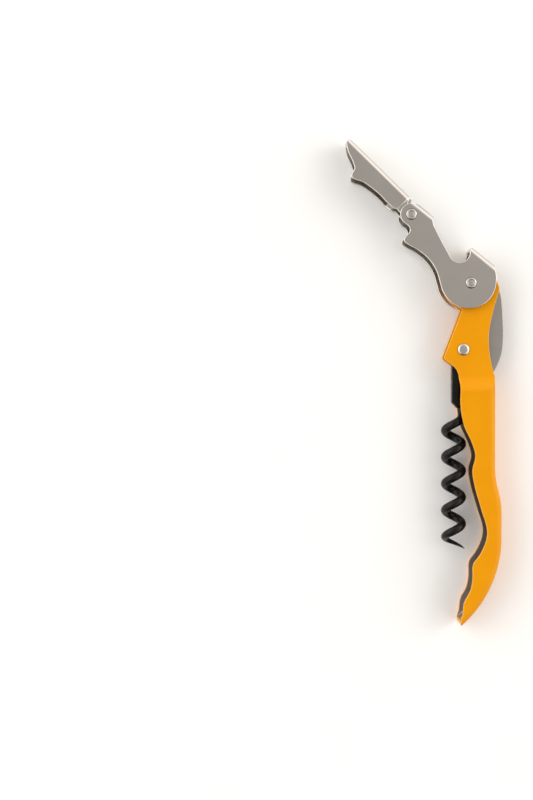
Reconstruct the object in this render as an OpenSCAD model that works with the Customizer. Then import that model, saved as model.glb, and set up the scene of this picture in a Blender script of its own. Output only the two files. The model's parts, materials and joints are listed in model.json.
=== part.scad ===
// Waiter's corkscrew with a two-piece folding lever, a folding worm and a folding foil knife.
// It lies on its side on the table: XY is the plane the joints turn in, +Z is up.
// Shapes are drawn from the main rivet and moved at the end, so the origin is under the middle.

/* [Handle] */
// width across the grip, outside to outside
handle_w = 11.6; // [11.2:0.1:13]
// sheet thickness of handle, lever and foot
sheet = 1.2; // [1.0:0.05:1.3]
// width across the narrow neck
neck_w = 7.1; // [6.9:0.1:7.3]
// outside bend radius along the spine
spine_r = 2.1; // [1.5:0.1:2.4]
// radius of the neck's round top
neck_top_r = 7.1; // [6.6:0.1:7.3]

/* [Lever] */
// width across lever and foot
lever_w = 10.8; // [10.7:0.05:11]
// distance from main rivet to the lever's outer web face
web_x = 9.35; // [9.2:0.05:9.6]
// outside bend radius of lever and foot
lever_r = 1.8; // [1.3:0.1:2.0]
// radius of the lever's ear around the foot hinge
ear_r = 3.55; // [3.2:0.05:3.7]
// angle between lever web and spine in the laid-out pose
lever_turn = 128.6; // [120:0.1:132]
// angle between foot web and spine in the laid-out pose
foot_turn = 134.4; // [128.6:0.1:136]

/* [Worm] */
// outside diameter of the coils
coil_d = 8.2; // [7.4:0.1:8.2]
// wire diameter
wire_d = 2.75; // [2.4:0.05:2.9]
// distance between coils
pitch = 8.7; // [8:0.1:9]
// number of turns
turns = 5; // [4:1:5]

/* [Knife] */
// blade thickness
blade_t = 1.2; // [0.9:0.1:1.4]
// spacing of the serrations
tooth = 1.9; // [1.6:0.1:2.4]

/* [Rivets] */
// shank diameter
shank_d = 3.0; // [2.6:0.1:3.1]
// head diameter
head_d = 3.9; // [3.6:0.1:4.2]
// radial clearance of a turning fit
fit = 0.05; // [0.02:0.01:0.1]

/* [Hidden] */
$fn = 48;
// middle of the laid-out shape, from the main rivet
mid = [-14.65, -32.3];
hw = handle_w / 2;
nw = neck_w / 2;
lw = lever_w / 2;
neck_in = nw - sheet;
lever_in = lw - sheet;
slack = 0.025;
pr = shank_d / 2;
hr = head_d / 2;
dome_r = 4.9;
crown = 0.3;
dish_r = 1.3;
dish = 0.25;
washer_r = 5;
spacer_r = 4.4;
worm_washer_r = 2.7;
worm_pin = [-2.2, -21.6];
hinge = [-5.3, -29.0];
hinge_rest = [hinge.x * cos(lever_turn) + hinge.y * sin(lever_turn),
  -hinge.x * sin(lever_turn) + hinge.y * cos(lever_turn)];
// spine line: straight, two tangent bends outward, straight, then the curl to the tip
sx0 = 8;
sx1 = 10.1;
sy0 = -60;
s_r = 26.25;
s_sin = 0.28;
sy1 = sy0 - 2 * s_r * s_sin;
sy2 = -82.8;
curl_r = 38;
shoulder_top = -30.2;
shoulder_y = -35.4;
web_top = -30.5;
open_end = -32.3;
neck_end = -36;
tip_y = -109.5;
foot_x = 3.8;

// smooth closed outline through [x, y, round]; round = 0 keeps a corner
function at(p) = [p[0], p[1]];
function unit(v) = v / norm(v);
function blend(a, b, u, v, t) = a * (2 * t ^ 3 - 3 * t ^ 2 + 1) + u * (t ^ 3 - 2 * t ^ 2 + t)
  + b * (3 * t ^ 2 - 2 * t ^ 3) + v * (t ^ 3 - t ^ 2);
function lean(a, b, c) = unit(unit(b - a) / norm(b - a) + unit(c - b) / norm(c - b));
function flow(p, s = 1.2) = let (n = len(p)) [for (i = [0:n - 1])
  let (a = at(p[(i + n - 1) % n]), b = at(p[i]), c = at(p[(i + 1) % n]), d = at(p[(i + 2) % n]),
    r0 = p[i][2], r1 = p[(i + 1) % n][2], l = norm(c - b),
    v1 = r1 == 0 ? c - b : l * lean(b, c, d), v0 = r0 == 0 ? c - b : l * lean(a, b, c),
    k = r0 == 0 && r1 == 0 ? 1 : max(2, ceil(l / s)))
  for (j = [0:k - 1]) blend(b, c, v0, v1, j / k)];

module ring(ro, ri, z0, z1) translate([0, 0, z0]) difference() {
  cylinder(r = ro, h = z1 - z0);
  translate([0, 0, -1]) cylinder(r = ri, h = z1 - z0 + 2);
}
module both() for (m = [0, 1]) mirror([0, 0, m]) children();
module place() translate([-mid.x, -mid.y, hw]) children();
module at_lever() rotate([0, 0, -lever_turn]) children();
module at_foot() translate(concat(hinge_rest, 0)) rotate([0, 0, -foot_turn]) children();

// channel section: web face at x = 0, depth towards -x, width along y
module channel(half, r, depth = 17) {
  translate([-depth, -half + r]) square([depth, 2 * half - 2 * r]);
  translate([-depth, -half]) square([depth - r, 2 * half]);
  for (s = [-1, 1]) translate([-r, s * (half - r)]) circle(r = r);
}

// ---------- handle ----------
module handle_side() polygon(flow([
  [8.4, 1.4, 0], [9.1, -0.4, 1], [9.5, -1.9, 1], [9.0, -3.6, 1], [7.5, -8.8, 1], [6.0, -17.2, 1],
  [6.6, -25, 1], [7.95, -30.4, 0], [7.95, -30.6, 0], [14, -30.6, 0], [14, -108, 0], [0.8, -109.2, 0],
  [-1.6, -111.1, 0], [-2.1, -111.4, 1], [-2.7, -111.4, 1], [-3.2, -111.0, 1], [-3.35, -110.2, 1],
  [-3.15, -108.9, 1], [-2.75, -107.4, 1],
  [-2.35, -104, 1], [-0.1, -99.4, 1], [0.5, -95.5, 1], [0.65, -91.3, 1], [2.7, -88.4, 1],
  [5.2, -82, 1], [3.15, -73, 1], [1.05, -65.5, 1], [0.4, -61, 1], [1.4, -56, 1], [0.4, -52.3, 1],
  [-2.3, -46.2, 1], [-3.4, -40, 1], [-3.5, -32, 1], [-4.3, -28.4, 1], [-6.0, -26.5, 1],
  [-8.1, -25, 0], [-8.55, -24.2, 0], [-2.6, -8.6, 0], [-5.8, -6.1, 1], [-7.5, -3.6, 0]], 1.6));

module wall_section() difference() {
  channel(hw, spine_r);
  translate([-sheet, 0]) channel(hw - sheet, max(0.6, spine_r - sheet));
}
module straight(x, y0, y1) translate([x, y0, 0]) rotate([90, 0, 0]) linear_extrude(y0 - y1) children();
module bend(inward) translate([inward ? sx1 - s_r : sx0 + s_r, inward ? sy1 : sy0, 0]) intersection() {
  rotate([0, 0, inward ? 0 : 180]) rotate_extrude(angle = 20, $fn = 96)
    translate([s_r, 0]) mirror([inward ? 0 : 1, 0]) wall_section();
  rotate([0, 0, asin(s_sin)]) translate([-60, inward ? -60 : 0, -10]) cube([120, 60, 20]);
}
// the five runs of the folded sheet along the spine, below the shoulder
module run(i) {
  if (i == 0) straight(sx0, neck_end, sy0) wall_section();
  if (i == 1) bend(false);
  if (i == 2) bend(true);
  if (i == 3) straight(sx1, sy1, sy2) wall_section();
  if (i == 4) translate([sx1 - curl_r, sy2, 0]) mirror([0, 1, 0])
    rotate_extrude(angle = 56, $fn = 96) translate([curl_r, 0]) wall_section();
}

// neck width, swelling to the grip width at the shoulder; drawn in y and z
function swell(i, n, h) = [shoulder_top + i * (shoulder_y - shoulder_top) / 10,
  n + (h - n) * (1 - cos(18 * i)) / 2];
module shoulder(n, h, far) rotate([90, 0, 90]) translate([0, 0, -20]) linear_extrude(40)
  polygon(concat([[12, -n], [12, n]],
    [for (i = [0:10]) swell(i, n, h)], [[far, h], [far, -h]],
    [for (i = [10:-1:0]) [swell(i, n, h).x, -swell(i, n, h).y]]));

module neck() difference() {
  intersection() {
    translate([0, 0, -8]) linear_extrude(16) intersection() {
      union() {
        handle_side();
        circle(r = neck_top_r);
      }
      translate([-20, neck_end]) square([40, 60]);
    }
    shoulder(nw, hw, sy0);
    union() {
      translate([-20, web_top, -8]) cube([40, 50, 16]);
      straight(sx0, web_top, sy0) channel(hw, spine_r);
    }
  }
  intersection() {
    shoulder(neck_in, hw - sheet, sy0);
    union() {
      translate([-20, open_end, -8]) cube([40, 60, 16]);
      straight(sx0 - sheet, open_end, sy0) channel(hw - sheet, max(0.6, spine_r - sheet));
    }
  }
  translate([0, 0, -9]) cylinder(r = pr, h = 18);
  translate([worm_pin.x, worm_pin.y, -9]) cylinder(r = pr, h = 18);
}
module grip(i) intersection() {
  translate([0, 0, -8]) linear_extrude(16) handle_side();
  run(i);
}
// the web turned round the end of the grip, closing the channel
module tip() intersection() {
  translate([0, 0, -8]) linear_extrude(16) intersection() {
    handle_side();
    translate([-20, tip_y - 20]) square([40, 20]);
  }
  translate([sx1 - curl_r, sy2, 0]) mirror([0, 1, 0])
    rotate_extrude(angle = 56, $fn = 96) translate([curl_r, 0]) channel(hw, spine_r);
}
module handle_shell() color("orange") place() {
  neck();
  grip(0);
  grip(1);
  grip(2);
  grip(3);
  grip(4);
  tip();
}

// leaf spring bearing on the worm's tang, fixed low on the inside of the spine
module backspring() color("silver") place() translate([0, 0, -2.1]) linear_extrude(4.2)
  polygon(flow([
    [0.86, -19.5, 0], [0.86, -24.3, 1], [2.2, -31, 1], [4.6, -41, 1], [5.7, -48, 1],
    [5.85, -50, 0], [5.85, -55, 0], [sx0 - sheet - 0.01, -55, 0], [sx0 - sheet - 0.01, -50, 0],
    [6.6, -47.6, 1], [5.5, -40.8, 1], [3.1, -30.8, 1], [1.8, -24.3, 1], [1.76, -19.5, 0]], 2.2));

// ---------- rivets, washers and spacers ----------
module rivet(z_sheet, z_top, dished) {
  translate([0, 0, -z_sheet]) cylinder(r = pr, h = 2 * z_sheet);
  both() difference() {
    intersection() {
      translate([0, 0, z_sheet]) cylinder(r = hr, h = z_top - z_sheet);
      translate([0, 0, z_top + crown - dome_r]) sphere(r = dome_r);
    }
    if (dished) translate([0, 0, z_top + dish_r - dish]) sphere(r = dish_r);
  }
}
module main_rivet() color("gainsboro") place() rivet(lw + slack, hw, true);
module worm_rivet() color("gainsboro") place()
  translate([worm_pin.x, worm_pin.y, 0]) rivet(nw, lever_in - 0.07, false);
module hinge_rivet() color("gainsboro") place()
  translate([hinge_rest.x, hinge_rest.y, 0]) rivet(lw, hw, true);

module pivot_washers() color("darkgray") place()
  both() ring(washer_r, pr + fit, nw + slack, lever_in - slack);
module knife_spacers() color("darkgray") place()
  both() ring(spacer_r, pr + fit, blade_t / 2 + slack, neck_in - slack);
module worm_washers() color("darkgray") place() translate([worm_pin.x, worm_pin.y, 0])
  both() ring(worm_washer_r, pr + fit, tang_half + slack, neck_in - slack);

// ---------- lever ----------
module lever_side() {
  polygon(flow([
    [-web_x, 2.7, 0], [-web_x, -7.0, 0], [-8.1, -6.8, 0], [-6.4, -5.8, 1], [-4.4, -5.9, 1],
    [-2.6, -7.2, 1], [-2.1, -9.4, 1], [-3.1, -12.2, 1], [-6.9, -20.9, 0], [-8.2, -22.3, 1],
    [-web_x, -22.7, 0], [-web_x, hinge.y, 0], [-web_x + 0.3, hinge.y - 1.2, 0], [hinge.x, hinge.y, 0],
    [hinge.x + ear_r, hinge.y, 0], [hinge.x + ear_r, -27.2, 1], [-0.9, -26.0, 1], [1.4, -25.9, 1],
    [2.9, -25.5, 1], [3.0, -24.2, 1], [2.45, -21, 1], [2.3, -17.8, 1], [2.8, -14.2, 1],
    [4.0, -11.1, 1], [5.9, -8.3, 1], [7.9, -5.4, 1], [8.9, -2.2, 1], [8.6, 1.4, 1], [6.9, 4.6, 1],
    [3.4, 7.3, 1], [-0.9, 7.95, 1], [-4.8, 6.6, 1], [-7.4, 4.5, 1], [-8.5, 3.0, 0]], 0.9));
  translate(hinge) circle(r = ear_r);
}

module lever_arm() color("lightgray") place() at_lever() difference() {
  intersection() {
    translate([0, 0, -8]) linear_extrude(16) lever_side();
    translate([-web_x, 12, 0]) rotate([90, 0, 0]) linear_extrude(50) mirror([1, 0])
      channel(lw, lever_r, 30);
  }
  translate([-web_x + sheet, 13, 0]) rotate([90, 0, 0]) linear_extrude(52) mirror([1, 0])
    channel(lever_in, max(0.5, lever_r - sheet), 32);
  translate([0, 0, -9]) cylinder(r = pr + fit, h = 18);
  translate([hinge.x, hinge.y, -9]) cylinder(r = pr, h = 18);
}

// ---------- foot, drawn from the hinge ----------
module foot_side() {
  polygon(flow([
    [-foot_x, -4.3, 0], [-foot_x, -30.2, 0], [-3.2, -31.6, 1], [-2.4, -31.7, 1], [-1.4, -30.7, 1],
    [-0.2, -28.9, 0], [1.5, -24.6, 1], [2.2, -23.5, 1], [4.0, -23.0, 1], [4.9, -22.2, 1],
    [4.7, -21.2, 1], [3.6, -19.0, 1], [2.9, -15.6, 1], [2.6, -11.7, 1], [2.7, -7.8, 1],
    [2.2, -5.0, 1], [1.7, -4.3, 0]], 1.1));
}
// rounded ear on the hinge, notched on its web side to clear the end of the lever's web
module foot_tongue() {
  circle(r = 2.15);
  polygon([[0, 0], [2.15, 0], [1.7, -8.5], [-foot_x + 0.6, -8.5], [-foot_x + 0.6, -4.3],
    [-1.6, -2.9], [-1.6, -1]]);
}
module lever_foot() color("lightgray") place() at_foot() difference() {
  union() {
    intersection() {
      translate([0, 0, -8]) linear_extrude(16) foot_side();
      translate([-foot_x, 0, 0]) rotate([90, 0, 0]) linear_extrude(40) mirror([1, 0])
        channel(lw, lever_r, 20);
    }
    translate([0, 0, -lever_in + fit]) linear_extrude(2 * lever_in - 2 * fit) foot_tongue();
    translate([-foot_x, -5, -3.3]) cube([sheet, 2.1, 6.6]);
  }
  difference() {
    translate([-foot_x + sheet, -3, 0]) rotate([90, 0, 0]) linear_extrude(40) mirror([1, 0])
      channel(lever_in, max(0.5, lever_r - sheet), 22);
    both() rotate([90, 0, 90]) translate([0, 0, -20]) linear_extrude(40)
      polygon([[4, lever_in - sheet], [-6, lever_in - sheet], [-8.4, lever_in + 0.1], [4, lever_in + 0.1]]);
  }
  translate([-foot_x + sheet, -6, -lever_in + sheet]) cube([40, 12, 2 * lever_in - 2 * sheet]);
  translate([0, 0, -9]) cylinder(r = pr + fit, h = 18);
}

// ---------- worm ----------
wr = wire_d / 2;
cr = coil_d / 2 - wr;
worm_x = -2.86;
tang_half = neck_in - 0.525;
y_top = -13.8;
y_turn = -19.9;
ramp = 4;
rate = 360 / pitch;
y_tip = y_turn - ramp / 2 - pitch * (turns - 0.03);
function spin(y) = y > y_turn ? 0 : y > y_turn - ramp ? rate * (y_turn - y) ^ 2 / 2 / ramp
  : rate * (y_turn - y - ramp / 2);
function thin(y) = let (t = min(1, (y - y_tip) / (pitch * 0.62))) 0.08 + (wr - 0.08) * t ^ 0.75;
function wire(y) = let (a = spin(y), r = cr + 0.75 * (wr - thin(y))) [r * cos(a), y, r * sin(a)];
function loop(y, n) = let (a = spin(y), t = unit(wire(y - 0.02) - wire(y + 0.02)),
  o = [cos(a), 0, sin(a)], u = unit(o - t * (o * t)), v = cross(t, u))
  [for (i = [0:n - 1]) wire(y) + thin(y) * (u * cos(360 * i / n) + v * sin(360 * i / n))];
module worm_wire(n = 16) {
  ys = concat([y_top, -17, y_turn],
    [for (i = [1:5]) y_turn - i * ramp / 5],
    [for (i = [1:floor((y_turn - ramp - y_tip) / 0.29)]) y_turn - ramp - i * 0.29]);
  m = len(ys);
  polyhedron(points = [for (y = ys) each loop(y, n)], convexity = 12,
    faces = concat([[for (i = [n - 1:-1:0]) i]], [[for (i = [0:n - 1]) (m - 1) * n + i]],
      [for (k = [0:m - 2]) for (i = [0:n - 1])
        each [[k * n + i, k * n + (i + 1) % n, (k + 1) * n + i],
              [k * n + (i + 1) % n, (k + 1) * n + (i + 1) % n, (k + 1) * n + i]]]));
}
module worm() color("dimgray") place() translate([worm_pin.x + worm_x, worm_pin.y, 0]) worm_wire();

module worm_tang() color("dimgray") place() translate([worm_pin.x, worm_pin.y, 0]) difference() {
  translate([0, 0, -tang_half]) linear_extrude(2 * tang_half) union() {
    circle(r = 3);
    polygon(flow([[-2.6, -1.5, 0], [-3.55, -5.2, 0], [-3.55, -17.2, 0], [-1.8, -19.1, 0], [1.25, -19.1, 0],
      [1.4, -16.5, 0], [1.4, -7, 1], [2.4, -1.8, 0], [0, 0, 0]]));
  }
  translate([0, 0, -9]) cylinder(r = pr + fit, h = 18);
  translate([worm_x + cr, y_top, 0]) rotate([90, 0, 0]) cylinder(r = wr, h = 10);
}

// ---------- knife ----------
// first serration, start of the ground bevel and the bevel's angle
edge_x = 3.68;
edge_y = -11.2;
grind_x = 7.8;
grind = 5.6;
module knife_side() polygon(flow([
    [5.8, 2.2, 0], [8.3, -0.8, 1], [9.8, -2.2, 1], [10.3, -3.6, 1], [10.75, -7.7, 1], [11.05, -13, 1],
    [11.05, -18.7, 1], [10.65, -22.4, 1], [9.7, -25.4, 1], [7.8, -29.4, 0], [6.3, -27.4, 1],
    [4.7, -23.2, 1], [4.1, -17, 1], [4.4, -11, 1], [3.4, -8.0, 1], [1.2, -5.6, 0], [0, 0, 0]], 1.3));
module knife() color("silver") place() difference() {
  translate([0, 0, -blade_t / 2]) {
    cylinder(r = 6.3, h = blade_t);
    linear_extrude(blade_t) knife_side();
  }
  translate([0, 0, -9]) cylinder(r = pr + fit, h = 18);
  for (i = [0:6]) translate([edge_x + 0.012 * (i - 2) ^ 2 * tooth / 2, edge_y - i * tooth, -2])
    cylinder(r = tooth * 0.53, h = 4, $fn = 24);
  both() translate([grind_x, -9.3, blade_t / 2]) rotate([0, -grind, 0]) translate([-9, -30, 0])
    cube([9, 30, 3]);
}

handle_shell();
backspring();
main_rivet();
worm_rivet();
hinge_rivet();
pivot_washers();
knife_spacers();
worm_washers();
lever_arm();
lever_foot();
worm();
worm_tang();
knife();
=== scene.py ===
"""Waiter's corkscrew, opened and lying on its side on a pale table, seen from above."""

import json
import math

import bmesh
import bpy
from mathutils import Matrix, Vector


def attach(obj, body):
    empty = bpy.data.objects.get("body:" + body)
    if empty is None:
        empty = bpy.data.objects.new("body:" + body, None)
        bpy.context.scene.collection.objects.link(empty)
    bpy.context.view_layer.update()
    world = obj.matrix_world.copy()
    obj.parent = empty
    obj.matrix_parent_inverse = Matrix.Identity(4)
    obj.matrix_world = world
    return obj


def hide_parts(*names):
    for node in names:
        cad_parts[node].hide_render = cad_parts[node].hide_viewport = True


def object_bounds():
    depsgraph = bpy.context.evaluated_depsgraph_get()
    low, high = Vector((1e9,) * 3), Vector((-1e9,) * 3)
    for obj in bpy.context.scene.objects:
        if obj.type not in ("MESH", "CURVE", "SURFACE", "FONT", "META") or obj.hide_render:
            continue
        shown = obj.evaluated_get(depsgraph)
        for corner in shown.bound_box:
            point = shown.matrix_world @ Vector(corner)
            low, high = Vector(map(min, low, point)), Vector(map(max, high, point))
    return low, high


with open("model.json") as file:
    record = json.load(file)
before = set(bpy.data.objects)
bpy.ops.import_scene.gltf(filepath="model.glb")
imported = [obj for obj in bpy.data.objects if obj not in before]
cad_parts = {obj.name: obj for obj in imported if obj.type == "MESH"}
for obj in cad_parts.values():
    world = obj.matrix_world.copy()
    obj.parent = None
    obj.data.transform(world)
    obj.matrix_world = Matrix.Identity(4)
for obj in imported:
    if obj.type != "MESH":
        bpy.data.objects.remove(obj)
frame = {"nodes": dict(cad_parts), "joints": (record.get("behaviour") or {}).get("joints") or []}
cad_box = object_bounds()

MM = 0.001
JOINTS = {j["name"]: j for j in frame["joints"]}

# the part's own dimensions, in mm
SHEET = 1.2  # thickness of the folded sheet
NECK_FACE, GRIP_FACE, LEVER_FACE = 3.55, 5.8, 5.4  # heights of outer faces above the middle plane
HEAD_TOP = 5.79  # height of the flush rivet heads
SHANK_R = 1.5


def pivot(joint):
    """Where a joint's axis stands, in the row frame."""
    return Vector(JOINTS[joint]["pos_m"])


MAIN = pivot("lever_swing")
WORM_PIN = pivot("worm_swing")
HINGE = pivot("foot_swing")
LEVER_ANGLE = math.radians(128.6)  # from the handle's length to the lever's, at rest
FOOT_ANGLE = math.radians(134.4)


# ---------- materials ----------
class Shader:
    """A small helper that builds one Principled material node by node."""

    def __init__(self, name):
        self.material = bpy.data.materials.new(name)
        self.material.use_nodes = True
        self.tree = self.material.node_tree
        self.surface = self.tree.nodes["Principled BSDF"]
        self.place = self.tree.nodes.new("ShaderNodeTexCoord").outputs["Object"]

    def set(self, **values):
        for socket, value in values.items():
            self.surface.inputs[socket.replace("_", " ")].default_value = value

    def link(self, source, socket):
        self.tree.links.new(source, self.surface.inputs[socket])

    def node(self, kind, inputs=None, **settings):
        made = self.tree.nodes.new("ShaderNode" + kind)
        for key, value in settings.items():
            setattr(made, key, value)
        for socket, value in (inputs or {}).items():
            if isinstance(value, bpy.types.NodeSocket):
                self.tree.links.new(value, made.inputs[socket])
            else:
                made.inputs[socket].default_value = value
        return made

    def noise(self, size_mm, detail=3.0, rough=0.55, stretch=(1, 1, 1), turn=0.0):
        """Noise with features of about size_mm, longer along the directions where stretch is above 1."""
        scale = [1 / (size_mm * MM * s) for s in stretch]
        moved = self.node("Mapping", {"Vector": self.place, "Rotation": (0, 0, turn), "Scale": scale})
        return self.node("TexNoise", {"Vector": moved.outputs[0], "Scale": 1.0, "Detail": detail,
                                      "Roughness": rough}).outputs["Fac"]

    def spread(self, value, low, high, start=0.3, stop=0.7):
        """Maps a noise value to the range low to high."""
        return self.node("MapRange", {"Value": value, "From Min": start, "From Max": stop,
                                      "To Min": low, "To Max": high}).outputs[0]

    def mix(self, factor, a, b):
        made = self.node("Mix", {0: factor}, data_type="RGBA")
        for slot, value in ((6, a), (7, b)):
            if isinstance(value, bpy.types.NodeSocket):
                self.tree.links.new(value, made.inputs[slot])
            else:
                made.inputs[slot].default_value = (*value, 1)
        return made.outputs[2]

    def times(self, a, b):
        return self.node("Math", {0: a, 1: b}, operation="MULTIPLY").outputs[0]

    def edge(self):
        """1 on the rounded edges of a piece and 0 on its faces."""
        return self.node("Attribute", attribute_name="edge").outputs["Fac"]

    def towards_tip(self):
        """0 at the middle of the grip, rising to 1 at its tip."""
        start, stop = 70, 108  # mm from the main rivet
        split = self.node("SeparateXYZ", {0: self.place})
        return self.spread(split.outputs[1], 0.0, 1.0, MAIN.y - start * MM, MAIN.y - stop * MM)

    def painted_shade(self):
        """Up to 1 on the rings of a rivet's head that are darkened as painted shade, and 0 elsewhere."""
        return self.node("Attribute", attribute_name="painted_shade").outputs["Fac"]

    def bump(self, *layers):
        """Stacks (height, depth in mm) layers into the surface's normal."""
        normal = None
        for height, depth in layers:
            inputs = {"Height": height, "Strength": 1.0, "Distance": depth * MM}
            if normal:
                inputs["Normal"] = normal
            normal = self.node("Bump", inputs).outputs[0]
        self.link(normal, "Normal")


def paint():
    """Orange-yellow powder paint with a fine orange peel, paler on the cut edges from thinner paint and
    from a painted highlight.
    """
    s = Shader("orange_paint")
    s.set(Coat_Weight=0.05, Coat_Roughness=0.15, Specular_IOR_Level=0.12)
    body = s.mix(s.spread(s.noise(9, 2), 0, 1), (0.755, 0.292, 0.0), (0.785, 0.310, 0.0))
    speck = s.spread(s.noise(0.9, 4, 0.7), 0, 1, 0.62, 0.74)
    body = s.mix(s.times(speck, 0.25), body, (0.68, 0.235, 0.0))
    # cut edges: paler orange, partly for thin worn paint and partly a painted highlight
    worn_and_highlit = s.times(s.edge(), s.spread(s.noise(1.6, 4), 0.45, 0.9))
    s.link(s.mix(worn_and_highlit, body, (0.90, 0.50, 0.11)), "Base Color")
    s.link(s.spread(s.noise(2.2, 3), 0.28, 0.40), "Roughness")
    s.bump((s.noise(0.55, 2), 0.012), (s.noise(0.11, 2), 0.002))
    return s.material


def channel_steel():
    """Bare, darkened steel inside the handle's channel, with a little paint dust, and painted light that
    makes it lighter towards the tip.
    """
    s = Shader("channel_steel")
    s.set(Metallic=0.55)
    tone = s.mix(s.spread(s.noise(6, 3), 0, 1), (0.105, 0.085, 0.068), (0.16, 0.135, 0.115))
    # painted light: the channel's steel is painted lighter towards the tip
    tone = s.mix(s.towards_tip(), tone, (0.28, 0.255, 0.235))
    dust = s.spread(s.noise(0.7, 5, 0.7), 0, 0.35, 0.6, 0.8)
    s.link(s.mix(dust, tone, (0.42, 0.17, 0.02)), "Base Color")
    s.link(s.spread(s.noise(1.3, 4), 0.38, 0.6), "Roughness")
    s.bump((s.noise(0.5, 4), 0.01))
    return s.material


def steel(name, dark, light, rough, grain=(1, 1, 1), turn=0.0, edge_tone=(0.82, 0.80, 0.76),
          scratch=0.0015):
    """Metal with a rolled grain, a slightly uneven polish, bright edges and painted shade on the marked
    rings of a rivet's head.
    """
    s = Shader(name)
    s.set(Metallic=1.0)
    cloud = s.mix(s.spread(s.noise(11, 2, 0.4), 0, 1), dark, light)
    line = s.noise(0.16, 3, 0.6, grain, turn)
    face_tone = s.mix(s.times(s.spread(line, 0, 1), 0.18), cloud, light)
    # painted shade: the marked rings of a rivet's head are mixed towards near black
    s.link(s.mix(s.painted_shade(), s.mix(s.edge(), face_tone, edge_tone), (0.07, 0.06, 0.05)), "Base Color")
    polish = s.spread(s.noise(3.5, 4), rough - 0.015, rough + 0.02)
    shine = s.node("Math", {0: polish, 1: s.times(s.edge(), -0.08)}, operation="ADD")
    s.link(shine.outputs[0], "Roughness")
    s.bump((line, scratch), (s.noise(4.5, 2), 0.004))
    return s.material


def black_coating():
    """Black non-stick coating, satin, with a fine pebble and rubbed edges."""
    s = Shader("black_coating")
    s.set(Specular_IOR_Level=0.22)
    tone = s.mix(s.spread(s.noise(2.5, 4), 0, 1), (0.004, 0.0035, 0.0025), (0.009, 0.0075, 0.006))
    rubbed = s.times(s.edge(), s.spread(s.noise(0.8, 4), 0, 0.5))
    s.link(s.mix(rubbed, tone, (0.06, 0.052, 0.042)), "Base Color")
    s.link(s.spread(s.noise(1.1, 4), 0.24, 0.34), "Roughness")
    s.bump((s.noise(0.22, 3), 0.004), (s.noise(1.4, 3), 0.01))
    return s.material


ALONG = (1, 14, 1)  # a grain that runs along the sheet
PAINT = paint()
CHANNEL = channel_steel()
LEVER = steel("lever_plate", (0.60, 0.565, 0.525), (0.63, 0.595, 0.555), 0.2, ALONG, LEVER_ANGLE)
FOOT = steel("foot_plate", (0.60, 0.565, 0.525), (0.63, 0.595, 0.555), 0.2, ALONG, FOOT_ANGLE)
RIVET = steel("rivet_steel", (0.60, 0.57, 0.54), (0.68, 0.65, 0.62), 0.2)
BLADE = steel("blade_steel", (0.43, 0.40, 0.37), (0.49, 0.46, 0.425), 0.3, (12, 1, 1), 0.0,
              (0.62, 0.60, 0.57), 0.003)
SPRING = steel("spring_steel", (0.24, 0.23, 0.225), (0.33, 0.32, 0.31), 0.38, ALONG)
WASHER = steel("washer_steel", (0.42, 0.41, 0.39), (0.52, 0.51, 0.49), 0.33, (6, 1, 1))
BLACK = black_coating()


# ---------- meshes ----------
def finish_mesh(name, bm, *materials):
    """Turns a bmesh into a smooth-shaded piece whose flat faces stay flat."""
    bmesh.ops.recalc_face_normals(bm, faces=bm.faces)
    mesh = bpy.data.meshes.new(name)
    bm.to_mesh(mesh)
    bm.free()
    for material in materials:
        mesh.materials.append(material)
    mesh.polygons.foreach_set("use_smooth", [True] * len(mesh.polygons))
    piece = bpy.data.objects.new(name, mesh)
    bpy.context.scene.collection.objects.link(piece)
    weighted = piece.modifiers.new("flat_faces", "WEIGHTED_NORMAL")
    weighted.weight = 90
    weighted.keep_sharp = True
    return piece


CORNER = math.radians(28)  # edges sharper than this are rounded


def is_rim(edge):
    """True where a sheet's flat side meets its cut edge."""
    tilts = sorted(abs(face.normal.z) for face in edge.link_faces)
    return tilts[0] < 0.35 and tilts[1] > 0.8


def rolled_mesh(node, radius, rims_only=False):
    """A CAD node's mesh with its flat faces joined up and its stamped edges rounded by radius, in mm."""
    bm = bmesh.new()
    bm.from_mesh(frame["nodes"][node].data)
    bmesh.ops.remove_doubles(bm, verts=bm.verts, dist=0.004 * MM)
    bmesh.ops.dissolve_limit(bm, angle_limit=math.radians(0.4), verts=bm.verts, edges=bm.edges)
    edge = bm.faces.layers.float.new("edge")
    edges = [e for e in bm.edges if e.is_manifold and e.calc_face_angle() > CORNER
             and (is_rim(e) or not rims_only)]
    made = bmesh.ops.bevel(bm, geom=edges, offset=radius * MM, offset_type="OFFSET", segments=2,
                           profile=0.5, affect="EDGES", clamp_overlap=False, loop_slide=True)
    for face in made["faces"]:
        face[edge] = 1.0
    return bm


def place(piece, body, slot, *nodes):
    """Rides a piece on a body, where it stands for the given CAD nodes."""
    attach(piece, body)
    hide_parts(*nodes)
    return piece


def rolled(node, body, slot, material, radius):
    """A CAD node with its edges rounded by radius, in mm, as a placed piece."""
    piece = finish_mesh(node + "_rolled", rolled_mesh(node, radius), material)
    return place(piece, body, slot, node)


# the handle's outline, in mm from the main rivet: the spine runs straight, bends out and back, runs
# straight again and curls in to the tip; the narrow neck swells to the grip at the shoulder
SPINE_TOP, SPINE_NEAR, SPINE_FAR = -30.4, 8.0, 10.1
BEND_TOP, BEND_MIDDLE, BEND_END, BEND_R = -60, -67.35, -74.7, 26.25
CURL_TOP, CURL_R = -82.8, 38
SHOULDER_TOP, SHOULDER_LENGTH = -30.2, 5.2
BARE_TOP, BARE_END = -31.0, -109.3  # the bare part of the channel's inside


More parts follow.
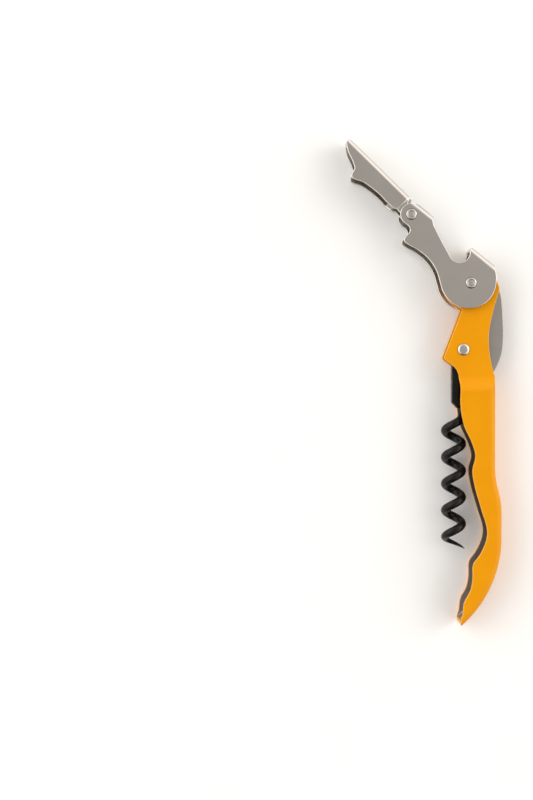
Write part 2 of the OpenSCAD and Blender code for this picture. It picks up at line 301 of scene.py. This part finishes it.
def spine_x(y):
    """The spine's outer face; the neck has no spine, so there it is far away."""
    if y > SPINE_TOP:
        return 99.0
    if y > BEND_TOP:
        return SPINE_NEAR
    if y > BEND_MIDDLE:
        return SPINE_NEAR + BEND_R - math.sqrt(BEND_R ** 2 - (y - BEND_TOP) ** 2)
    if y > BEND_END:
        return SPINE_FAR - BEND_R + math.sqrt(BEND_R ** 2 - (y - BEND_END) ** 2)
    if y > CURL_TOP:
        return SPINE_FAR
    return SPINE_FAR - CURL_R + math.sqrt(CURL_R ** 2 - (y - CURL_TOP) ** 2)


def half_width(y):
    """Half the handle's outside width."""
    rise = min(1, max(0, (SHOULDER_TOP - y) / SHOULDER_LENGTH))
    return NECK_FACE + (GRIP_FACE - NECK_FACE) * (1 - math.cos(math.pi * rise)) / 2


def is_inside(face):
    """True for a face on the inside of the handle's channel, and False for its cut edges."""
    x, y, z = (face.calc_center_median() - MAIN) / MM
    inner = half_width(y) - SHEET  # the allowances below take in its round corners, but no cut edge
    reach = max(abs(v.co.z - MAIN.z) for v in face.verts) / MM
    between = abs(z) < inner + 0.04 and reach < inner + 0.45
    return BARE_END < y < BARE_TOP and between and x < spine_x(y) - SHEET + 0.06


def handle():
    """The folded handle: painted outside, in the neck and on the cut edges, bare steel inside."""
    bm = rolled_mesh("handle_shell", 0.16, rims_only=True)
    for face in bm.faces:
        if is_inside(face):
            face.material_index = 1
    piece = finish_mesh("handle_painted", bm, PAINT, CHANNEL)
    return place(piece, "handle", "painted_steel", "handle_shell")


def spun(name, centre, profile, shade_rings, material, turns=64):
    """A solid of revolution about +Z through centre.

    profile lists (radius, height) in mm, bottom to top, and the third argument lists (inner radius, outer
    radius, darkness) for rings of the head that get painted shade.
    """
    bm = bmesh.new()
    # painted shade: each face carries how dark its ring of the head is painted as shade
    painted_shade = bm.faces.layers.float.new("painted_shade")
    rings = []
    for r, z in profile:
        if r == 0:
            rings.append([bm.verts.new((centre.x, centre.y, centre.z + z * MM))])
            continue
        rings.append([bm.verts.new((centre.x + r * MM * math.cos(a), centre.y + r * MM * math.sin(a),
                                    centre.z + z * MM))
                      for a in (2 * math.pi * i / turns for i in range(turns))])
    for a, b, (r, _) in zip(rings, rings[1:], profile):
        for i in range(turns):
            corners = [a[i % len(a)], a[(i + 1) % len(a)], b[(i + 1) % len(b)], b[i % len(b)]]
            face = bm.faces.new(list(dict.fromkeys(corners)))
            face[painted_shade] = max((depth for low, high, depth in shade_rings if low <= r <= high), default=0.0)
    return finish_mesh(name, bm, material)


# half profiles of the heads, as (radius in mm, share of the head's height), from the sheet to the middle
FLUSH = [(1.88, 0.0), (1.88, 0.12), (1.82, 0.3), (1.72, 0.5), (1.62, 0.7), (1.5, 0.88), (1.38, 0.97),
         (1.24, 0.99), (1.14, 0.92), (1.06, 0.76), (0.98, 0.7), (0.88, 0.76), (0.72, 0.86), (0.4, 0.9),
         (0.0, 0.91)]
DOMED = [(1.88, 0.0), (1.92, 0.14), (1.9, 0.3), (1.82, 0.48), (1.68, 0.66), (1.48, 0.82), (1.26, 0.93),
         (1.06, 0.985), (0.92, 1.0), (0.5, 0.99), (0.0, 0.99)]
# rings darkened as painted shade on the sides of the heads and in the flush heads' groove: (inner radius,
# outer radius, darkness), in mm
FLUSH_SHADE_RINGS = [(1.7, 1.9, 0.85), (0.97, 1.15, 0.5)]
DOMED_SHADE_RINGS = [(1.89, 1.93, 0.8)]


def rivet(node, body, centre, shape, shade_rings, sheet_z, top_z):
    """A rivet with the same head at both ends; sheet_z and top_z are in mm from the middle plane."""
    head = [(r, sheet_z + (top_z - sheet_z) * h) for r, h in shape]
    upper = [(SHANK_R, sheet_z)] + head
    profile = [(r, -z) for r, z in reversed(upper)] + upper
    piece = spun(node + "_head", centre, profile, shade_rings, RIVET)
    return place(piece, body, "rivet_steel", node)


# ---------- the worm's wire ----------
# in mm from the worm's rivet; the wire starts straight, winds up over RAMP and ends in a ground point
COIL_R, WIRE_R, PITCH, TURNS = 2.725, 1.375, 8.7, 5
COIL_X, WIRE_TOP, TURN_TOP, RAMP = -2.86, -13.8, -19.9, 4.0
TIP = TURN_TOP - RAMP / 2 - PITCH * (TURNS - 0.03)
POINT_R, POINT_LENGTH = 0.08, PITCH * 0.62


def wire_turn(y):
    """How far the wire has wound at height y, in radians."""
    rate = 2 * math.pi / PITCH
    if y > TURN_TOP:
        return 0.0
    if y > TURN_TOP - RAMP:
        return rate * (TURN_TOP - y) ** 2 / 2 / RAMP
    return rate * (TURN_TOP - y - RAMP / 2)


def wire_radius(y):
    """The wire's radius at height y: full, and thinning along the point."""
    t = min(1.0, max(0.0, y - TIP) / POINT_LENGTH)
    return POINT_R + (WIRE_R - POINT_R) * t ** 0.75


def wire_centre(y):
    """The middle of the wire at height y; it moves outwards as the wire thins."""
    a, r = wire_turn(y), COIL_R + 0.75 * (WIRE_R - wire_radius(y))
    return Vector((r * math.cos(a), y, r * math.sin(a)))


def worm():
    """The coiled wire: round, evenly ringed, ground to a point along its last part turn."""
    sides, step = 28, 0.14
    count = int((WIRE_TOP - TIP) / step)
    heights = [WIRE_TOP - (WIRE_TOP - TIP) * i / count for i in range(count + 1)]
    base = WORM_PIN + Vector((COIL_X, 0, 0)) * MM
    bm = bmesh.new()
    bm.faces.layers.float.new("edge")
    rings = []
    for y in heights:
        along_wire = (wire_centre(y - 0.02) - wire_centre(y + 0.02)).normalized()
        a = wire_turn(y)
        out = Vector((math.cos(a), 0, math.sin(a)))
        u = (out - along_wire * out.dot(along_wire)).normalized()
        v = along_wire.cross(u)
        ring = []
        for i in range(sides):
            t = 2 * math.pi * i / sides
            spoke = wire_radius(y) * (u * math.cos(t) + v * math.sin(t))
            ring.append(bm.verts.new(base + (wire_centre(y) + spoke) * MM))
        rings.append(ring)
    for a, b in zip(rings, rings[1:]):
        for i in range(sides):
            bm.faces.new((a[i], a[(i + 1) % sides], b[(i + 1) % sides], b[i]))
    bm.faces.new(rings[0][::-1])
    bm.faces.new(rings[-1])
    piece = finish_mesh("worm_wire", bm, BLACK)
    return place(piece, "worm", "black_coating", "worm")


handle()
rolled("lever_arm", "lever", "plated_steel", LEVER, 0.18)
rolled("lever_foot", "foot", "plated_steel", FOOT, 0.18)
rolled("worm_tang", "worm", "black_coating", BLACK, 0.22)
rolled("knife", "knife", "blade_steel", BLADE, 0.05)
rolled("backspring", "backspring", "spring_steel", SPRING, 0.08)
rolled("pivot_washers", "handle", "washer_steel", WASHER, 0.06)
rolled("knife_spacers", "handle", "washer_steel", WASHER, 0.1)
rolled("worm_washers", "handle", "washer_steel", WASHER, 0.06)
rivet("main_rivet", "handle", MAIN, FLUSH, FLUSH_SHADE_RINGS, LEVER_FACE + 0.025, HEAD_TOP)
rivet("hinge_rivet", "lever", HINGE, FLUSH, FLUSH_SHADE_RINGS, LEVER_FACE, HEAD_TOP)
rivet("worm_rivet", "handle", WORM_PIN, DOMED, DOMED_SHADE_RINGS, NECK_FACE, NECK_FACE + 0.57)
worm()


# ---------- table, light and camera ----------
def floor():
    """A wide, pale, matt table top."""
    mesh = bpy.data.meshes.new("table_top")
    bm = bmesh.new()
    bmesh.ops.create_circle(bm, cap_ends=True, radius=4.0, segments=96)
    bm.to_mesh(mesh)
    bm.free()
    table = bpy.data.objects.new("table_top", mesh)
    bpy.context.scene.collection.objects.link(table)
    s = Shader("pale_table")
    tone = s.mix(s.spread(s.noise(40, 3), 0, 1), (0.93, 0.93, 0.93), (0.95, 0.95, 0.95))
    s.link(tone, "Base Color")
    s.set(Roughness=0.8, Specular_IOR_Level=0.1)
    mesh.materials.append(s.material)


def softbox(name, place_m, size, power):
    """A rectangular lamp at place_m that faces the origin."""
    light = bpy.data.lights.new(name, "AREA")
    light.shape, light.size, light.size_y, light.energy = "RECTANGLE", size[0], size[1], power
    box = bpy.data.objects.new(name, light)
    bpy.context.scene.collection.objects.link(box)
    box.location = place_m
    box.rotation_euler = (-Vector(place_m)).to_track_quat("-Z", "Y").to_euler()


def grey_ramp(tree, source, *stops):
    """Turns a number into a slightly warm grey through (position, brightness) stops."""
    made = tree.nodes.new("ShaderNodeValToRGB")
    while len(made.color_ramp.elements) < len(stops):
        made.color_ramp.elements.new(0.5)
    for element, (position, grey) in zip(made.color_ramp.elements, stops):
        element.position = position
        element.color = (grey, grey * 0.99, grey * 0.975, 1)
    tree.links.new(source, made.inputs["Fac"])
    return made.outputs["Color"]


def multiply(tree, one, other):
    """Multiplies two colours."""
    made = tree.nodes.new("ShaderNodeMix")
    made.data_type, made.blend_type = "RGBA", "MULTIPLY"
    made.inputs[0].default_value = 1.0
    tree.links.new(one, made.inputs[6])
    tree.links.new(other, made.inputs[7])
    return made.outputs[2]


def sky():
    """A studio: white at both sides, greyer at both ends and overhead, dark low down at the near end."""
    world = bpy.data.worlds.new("studio")
    world.use_nodes = True
    tree = world.node_tree
    way = tree.nodes.new("ShaderNodeTexCoord")
    split = tree.nodes.new("ShaderNodeSeparateXYZ")
    tree.links.new(way.outputs["Generated"], split.inputs[0])
    sideways = tree.nodes.new("ShaderNodeMath")
    sideways.operation = "ABSOLUTE"
    tree.links.new(split.outputs["X"], sideways.inputs[0])
    away = tree.nodes.new("ShaderNodeMapRange")  # 0 straight towards -Y, 1 straight towards +Y
    away.inputs["From Min"].default_value = -1.0
    tree.links.new(split.outputs["Y"], away.inputs["Value"])

    ceiling = grey_ramp(tree, split.outputs["Z"], (0.0, 0.9), (0.3, 1.0), (0.74, 1.0), (0.88, 0.52))
    walls = grey_ramp(tree, sideways.outputs[0], (0.05, 0.56), (0.3, 0.68), (0.55, 1.0))
    near_end = grey_ramp(tree, away.outputs[0], (0.08, 0.05), (0.26, 1.0))
    light = multiply(tree, multiply(tree, ceiling, walls), near_end)
    tree.links.new(light, tree.nodes["Background"].inputs["Color"])
    tree.nodes["Background"].inputs["Strength"].default_value = 1.66
    bpy.context.scene.world = world


def camera():
    """Looks straight down from well to the left of the tool, which stands at the right of the picture."""
    height, view_height = 0.475, 0.2589  # above the tool's top, and the height of the picture there
    left, below = 0.0663, 0.0380  # from the main rivet
    made = bpy.data.cameras.new("camera")
    made.lens = made.sensor_width * height / view_height
    made.clip_start, made.clip_end = 0.01, 20
    eye = bpy.data.objects.new("camera", made)
    eye.location = (MAIN.x - left, MAIN.y - below, cad_box[1].z + height)
    bpy.context.scene.collection.objects.link(eye)
    bpy.context.scene.camera = eye


floor()
sky()
softbox("left_softbox", (-0.9, 0.35, 0.75), (0.8, 0.8), 2)
softbox("right_softbox", (0.95, 0.3, 0.6), (0.5, 0.8), 2)
camera()
bpy.context.scene.view_settings.view_transform = "Standard"
